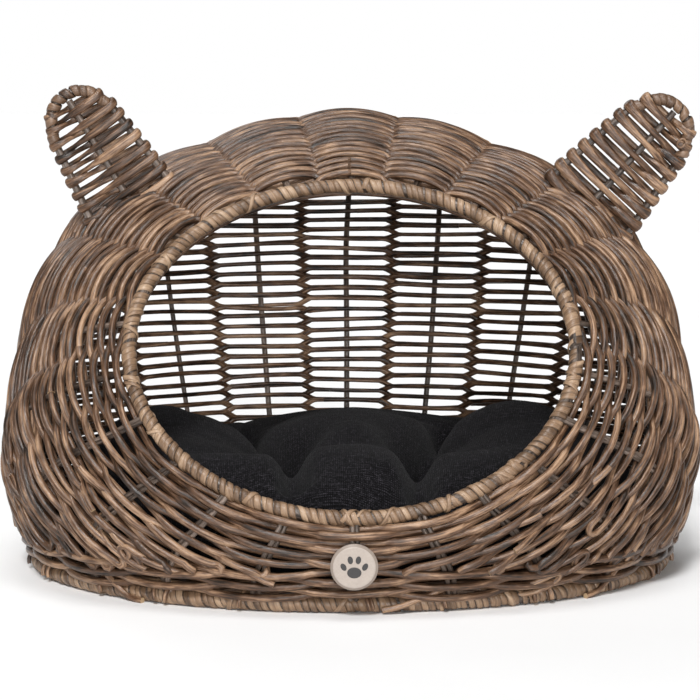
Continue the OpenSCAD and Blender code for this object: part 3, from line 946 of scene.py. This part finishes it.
def coordinates(obj):
    co = np.empty(len(obj.data.vertices) * 3)
    obj.data.vertices.foreach_get("co", co)
    return co.reshape(-1, 3)


def set_coordinates(obj, co):
    obj.data.vertices.foreach_set("co", co.astype(np.float32).ravel())
    obj.data.update()


def away_from(co, x, y):
    return np.hypot(co[:, 0] - x, co[:, 1] - y - CUSHION_Y)


def above_seam(co, band):
    """0 below the seam, rising to 1 over a band above it."""
    return step_up((co[:, 2] - CUSHION_Z - SEAM_Z) / band)


def tuft_pull(co, radius=0.013):
    """How strongly each point belongs to a tuft, 1 at its middle."""
    pull = np.max([np.exp(-(away_from(co, x, y) / radius) ** 2) for x, y in TUFTS], axis=0)
    return pull * (co[:, 2] > CUSHION_Z + SEAM_Z)


def crease_pull(co):
    """How strongly each point belongs to a fold that runs from tuft to tuft or out to the seam."""
    pull = np.zeros(len(co))
    for (ax, ay), (bx, by), width, depth in CREASES:
        run = np.array([bx - ax, by - ay])
        away = np.stack([co[:, 0] - ax, co[:, 1] - ay - CUSHION_Y], -1)
        share = np.clip(away @ run / (run @ run), 0, 1)
        gap = np.linalg.norm(away - share[:, None] * run, axis=1)
        pull = np.maximum(pull, depth * np.exp(-(gap / width) ** 2) * (1 - 0.35 * np.sin(share * math.pi)))
    return pull * above_seam(co, 0.012)


def humps(co):
    """The loose filling's own hills and hollows between the tufts."""
    lift = sum(height * np.exp(-(away_from(co, x, y) / size) ** 2) for x, y, size, height in HUMPS)
    return lift * above_seam(co, 0.03)


def inflate(obj):
    """Cloth under pressure, held at the tufts, with its travel capped."""
    start = coordinates(obj)
    group = obj.vertex_groups.new(name="held")
    held = np.clip(tuft_pull(start) * 1.6, 0, 1)
    low = start[:, 2] < CUSHION_Z + 0.006
    for i in np.nonzero((held > 0.5) | low)[0]:
        group.add([int(i)], 1.0, "REPLACE")
    cloth = obj.modifiers.new("fill", "CLOTH").settings
    cloth.vertex_group_mass = "held"
    cloth.use_pressure = True
    cloth.uniform_pressure_force = 4
    cloth.effector_weights.gravity = 0
    cloth.tension_stiffness = 12
    cloth.compression_stiffness = 6
    cloth.bending_stiffness = 0.15
    scene = bpy.context.scene
    for number in range(1, 21):
        scene.frame_set(number)
    apply_modifiers(obj)
    end = coordinates(obj)
    step = end - start
    far = np.linalg.norm(step, axis=1, keepdims=True)
    set_coordinates(obj, start + step * np.minimum(1, MAX_PUFF / np.maximum(far, 1e-9)))
    scene.frame_set(1)


def fit_cushion(obj, co):
    """Keeps the filled cushion inside its space and flat on the floor."""
    co[:, 2] = np.maximum(co[:, 2], CUSHION_Z + 0.0008)
    x, y = co[:, 0] / (CUSHION_A + 0.002), (co[:, 1] - CUSHION_Y) / (CUSHION_B + 0.002)
    over = np.maximum(1, np.hypot(x, y))
    co[:, 0] /= over
    co[:, 1] = CUSHION_Y + (co[:, 1] - CUSHION_Y) / over
    set_coordinates(obj, co)


def cushion(cover, thread):
    obj = cushion_blank()
    remesh = obj.modifiers.new("even", "REMESH")
    remesh.mode, remesh.voxel_size = "VOXEL", 0.006
    apply_modifiers(obj)
    co = coordinates(obj)
    wave = 0.0025 * np.sin(co[:, 0] * 60 + 2 * np.sin(co[:, 1] * 35)) * np.sin(co[:, 1] * 48 + 1.3)
    top = co[:, 2] > CUSHION_Z + SEAM_Z
    co[:, 2] += np.where(top, wave, 0) - tuft_pull(co) * 0.024
    set_coordinates(obj, co)
    inflate(obj)
    co = coordinates(obj)
    co[:, 2] += humps(co) - crease_pull(co) - tuft_pull(co, 0.024) * 0.012
    fit_cushion(obj, co)
    obj.modifiers.new("smooth", "SUBSURF").levels = 1
    apply_modifiers(obj)
    obj.data.polygons.foreach_set("use_smooth", np.full(len(obj.data.polygons), True))
    place(obj, cover, "cushion_fabric",
          "cushion_cover_top", "cushion_cover_bottom", "cushion_filling", body="cushion")
    stitch_tufts(obj, thread)
    piping(cover)


def stitch_tufts(obj, thread):
    """Crossed stitches at the bottom of each tuft."""
    ties, co = Tubes(6), coordinates(obj)
    for x, y in TUFTS:
        z = co[away_from(co, x, y) < 0.007, 2].max()
        for turn in (0.6, 2.2):
            s = np.linspace(-0.005, 0.005, 7)
            lift = 0.0012 * np.cos(s / 0.005 * math.pi / 2) + z + 0.0002
            path = [x + s * math.cos(turn), y + CUSHION_Y + s * math.sin(turn), lift]
            ties.add(np.stack(path, -1), 0.0007, (0, 0, 1))
    place(ties.build("cushion_tuft_stitches"), thread, "thread", "cushion_tuft_ties", body="cushion")


def piping(cover):
    """The welt sewn into the cushion's seam."""
    path = hoop_path(CUSHION_A - 0.001, CUSHION_B - 0.001, 220)
    path = path + np.array([0, CUSHION_Y, CUSHION_Z + SEAM_Z])
    lone_rod("cushion_piping", path, 0.0024, (0, 0, 1), cover, "cushion_fabric",
             closed=True, body="cushion")


# ---- badge
def badge_place():
    """Frame of the badge: x across, y up its face, z out of the wall."""
    seat = Vector(wall(np.array([math.pi]), np.array([0.49]))[0])
    out = Vector((0, -math.cos(BADGE_LEAN), -math.sin(BADGE_LEAN)))
    turn = Matrix.Rotation(math.pi / 2 + BADGE_LEAN, 4, "X")
    return Matrix.Translation(seat + out * BADGE_OUT) @ turn


def lens(mesh, centre, size, turn, low, high, sides=28):
    """A flat oval pad with a rounded edge."""
    rings = []
    for share, z in ((1.0, low), (1.0, low + 0.6 * (high - low)), (0.90, high)):
        oval = moved(share * hoop_path(*size, sides), Matrix.Rotation(turn, 4, "Z"))
        rings.append([mesh.verts.new(spot) for spot in oval + (*centre, z)])
    join_rings(mesh, rings)
    mesh.faces.new(rings[-1])


def badge(face, shadow_ring, ink):
    where = badge_place()
    disc, edge, paw = bmesh.new(), bmesh.new(), bmesh.new()
    lens(disc, (0, 0), (BADGE_D / 2 - 0.0007,) * 2, 0, 0.0004, BADGE_T, 72)
    # the edge ring: a ring a little wider than the disc, in darker enamel that paints the thin shadow round
    # the badge's edge
    lens(edge, (0, 0), (BADGE_D / 2,) * 2, 0, 0.0, BADGE_T - 0.0003, 72)
    low, high = BADGE_T - 0.0001, BADGE_T + 0.00025
    lens(paw, (0, -0.0035), (0.0048, 0.0038), 0, low, high)
    for x, y, turn in ((0.0072, 0.0005, -0.5), (0.0027, 0.0052, -0.15)):
        lens(paw, (x, y), (0.0018, 0.0027), turn, low, high)
        lens(paw, (-x, y), (0.0018, 0.0027), -turn, low, high)
    for mesh, name, material, nodes in ((disc, "badge_face", face, ["badge_disc"]),
                                        (edge, "badge_shadow_ring", shadow_ring, []),
                                        (paw, "badge_paw", ink, [])):
        mesh.transform(where)
        place(from_bmesh(mesh, name), material, "badge", *nodes)


def finish_frame_nodes(metal):
    """The CAD nodes that stay in view get their own material."""
    for name in ("badge_prongs", "badge_back_plate"):
        dress(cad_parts[name], metal)


# ---- stage
def studio():
    bpy.ops.mesh.primitive_plane_add(size=60, location=(0, 0, 0))
    ground = bpy.context.object
    ground.name = "studio_floor"
    ground.data.materials.append(plaster("studio_floor"))
    world = bpy.data.worlds.new("studio")
    bpy.context.scene.world = world
    world.use_nodes = True
    nodes, links = world.node_tree.nodes, world.node_tree.links
    height = nodes.new("ShaderNodeSeparateXYZ")
    links.new(nodes.new("ShaderNodeTexCoord").outputs["Generated"], height.inputs[0])
    sky = nodes.new("ShaderNodeValToRGB")
    links.new(height.outputs["Z"], sky.inputs["Fac"])
    for stop, (at, shade) in zip(sky.color_ramp.elements, ((0.04, 1.0), (0.11, 0.10))):
        stop.position, stop.color = at, (shade, shade, shade, 1)
    links.new(sky.outputs["Color"], nodes["Background"].inputs["Color"])
    soft_light("key", (-0.22, -1.0, 1.15), 12, 2.55)
    soft_light("front", (0.10, -1.0, 0.12), 30, 2.15)
    soft_light("top", (0.05, -0.1, 1.4), 25, 0.85)
    soft_light("back", (-0.5, 1.0, 0.7), 30, 0.5)
    bpy.context.scene.view_settings.view_transform = "Standard"


def soft_light(name, toward, spread, power):
    """A broad distant light that comes from the given direction."""
    data = bpy.data.lights.new(name, "SUN")
    data.angle, data.energy = math.radians(spread), power
    new_object(name, data).rotation_euler = Vector(toward).to_track_quat("Z", "Y").to_euler()


def camera():
    """The photograph's view: a long lens, a little above the basket, turned very slightly."""
    target, distance = Vector((0, 0.0044, 0.1578)), 1.9
    lift, turn = math.radians(6), math.radians(-0.7)
    back = Matrix.Rotation(turn, 3, "Z") @ Vector((0, -math.cos(lift), math.sin(lift)))
    data = bpy.data.cameras.new("camera")
    data.lens, data.sensor_width = 129.4, 36
    obj = new_object("camera", data)
    obj.location = target + back * distance
    obj.rotation_euler = (-back).to_track_quat("-Z", "Y").to_euler()
    bpy.context.scene.camera = obj


def main():
    strand = willow("willow_strand", (0.012, 0.0065, 0.0035), (0.107, 0.055, 0.030), (0.385, 0.240, 0.146))
    bark = willow("willow_stake", (0.024, 0.016, 0.012), (0.105, 0.077, 0.060), (0.26, 0.20, 0.165))
    strip = cane("split_cane", (0.075, 0.042, 0.023), (0.245, 0.152, 0.090), (0.55, 0.395, 0.265))
    dull = cane("dull_cane", (0.045, 0.024, 0.014), (0.16, 0.093, 0.055), (0.40, 0.27, 0.18))
    cover = fabric("charcoal_cloth")
    thread = fabric("tuft_thread")
    weave(strand)
    loose_ends(strand)
    stakes(bark)
    hoops(bark, strand, strip)
    base_loops(strand)
    floor(bark, strand)
    for side in EARS:
        ear(side, bark, strand, dull)
    cushion(cover, thread)
    # the second enamel is darker than the face and paints the thin shadow at the badge's edge
    badge(enamel("badge_enamel", (0.41, 0.35, 0.305), 0.45), enamel("badge_edge_shadow", (0.26, 0.21, 0.175), 0.4),
          enamel("badge_print", (0.035, 0.032, 0.032), 0.5))
    finish_frame_nodes(enamel("badge_steel", (0.5, 0.48, 0.45), 0.35, 1.0))
    studio()
    camera()


main()
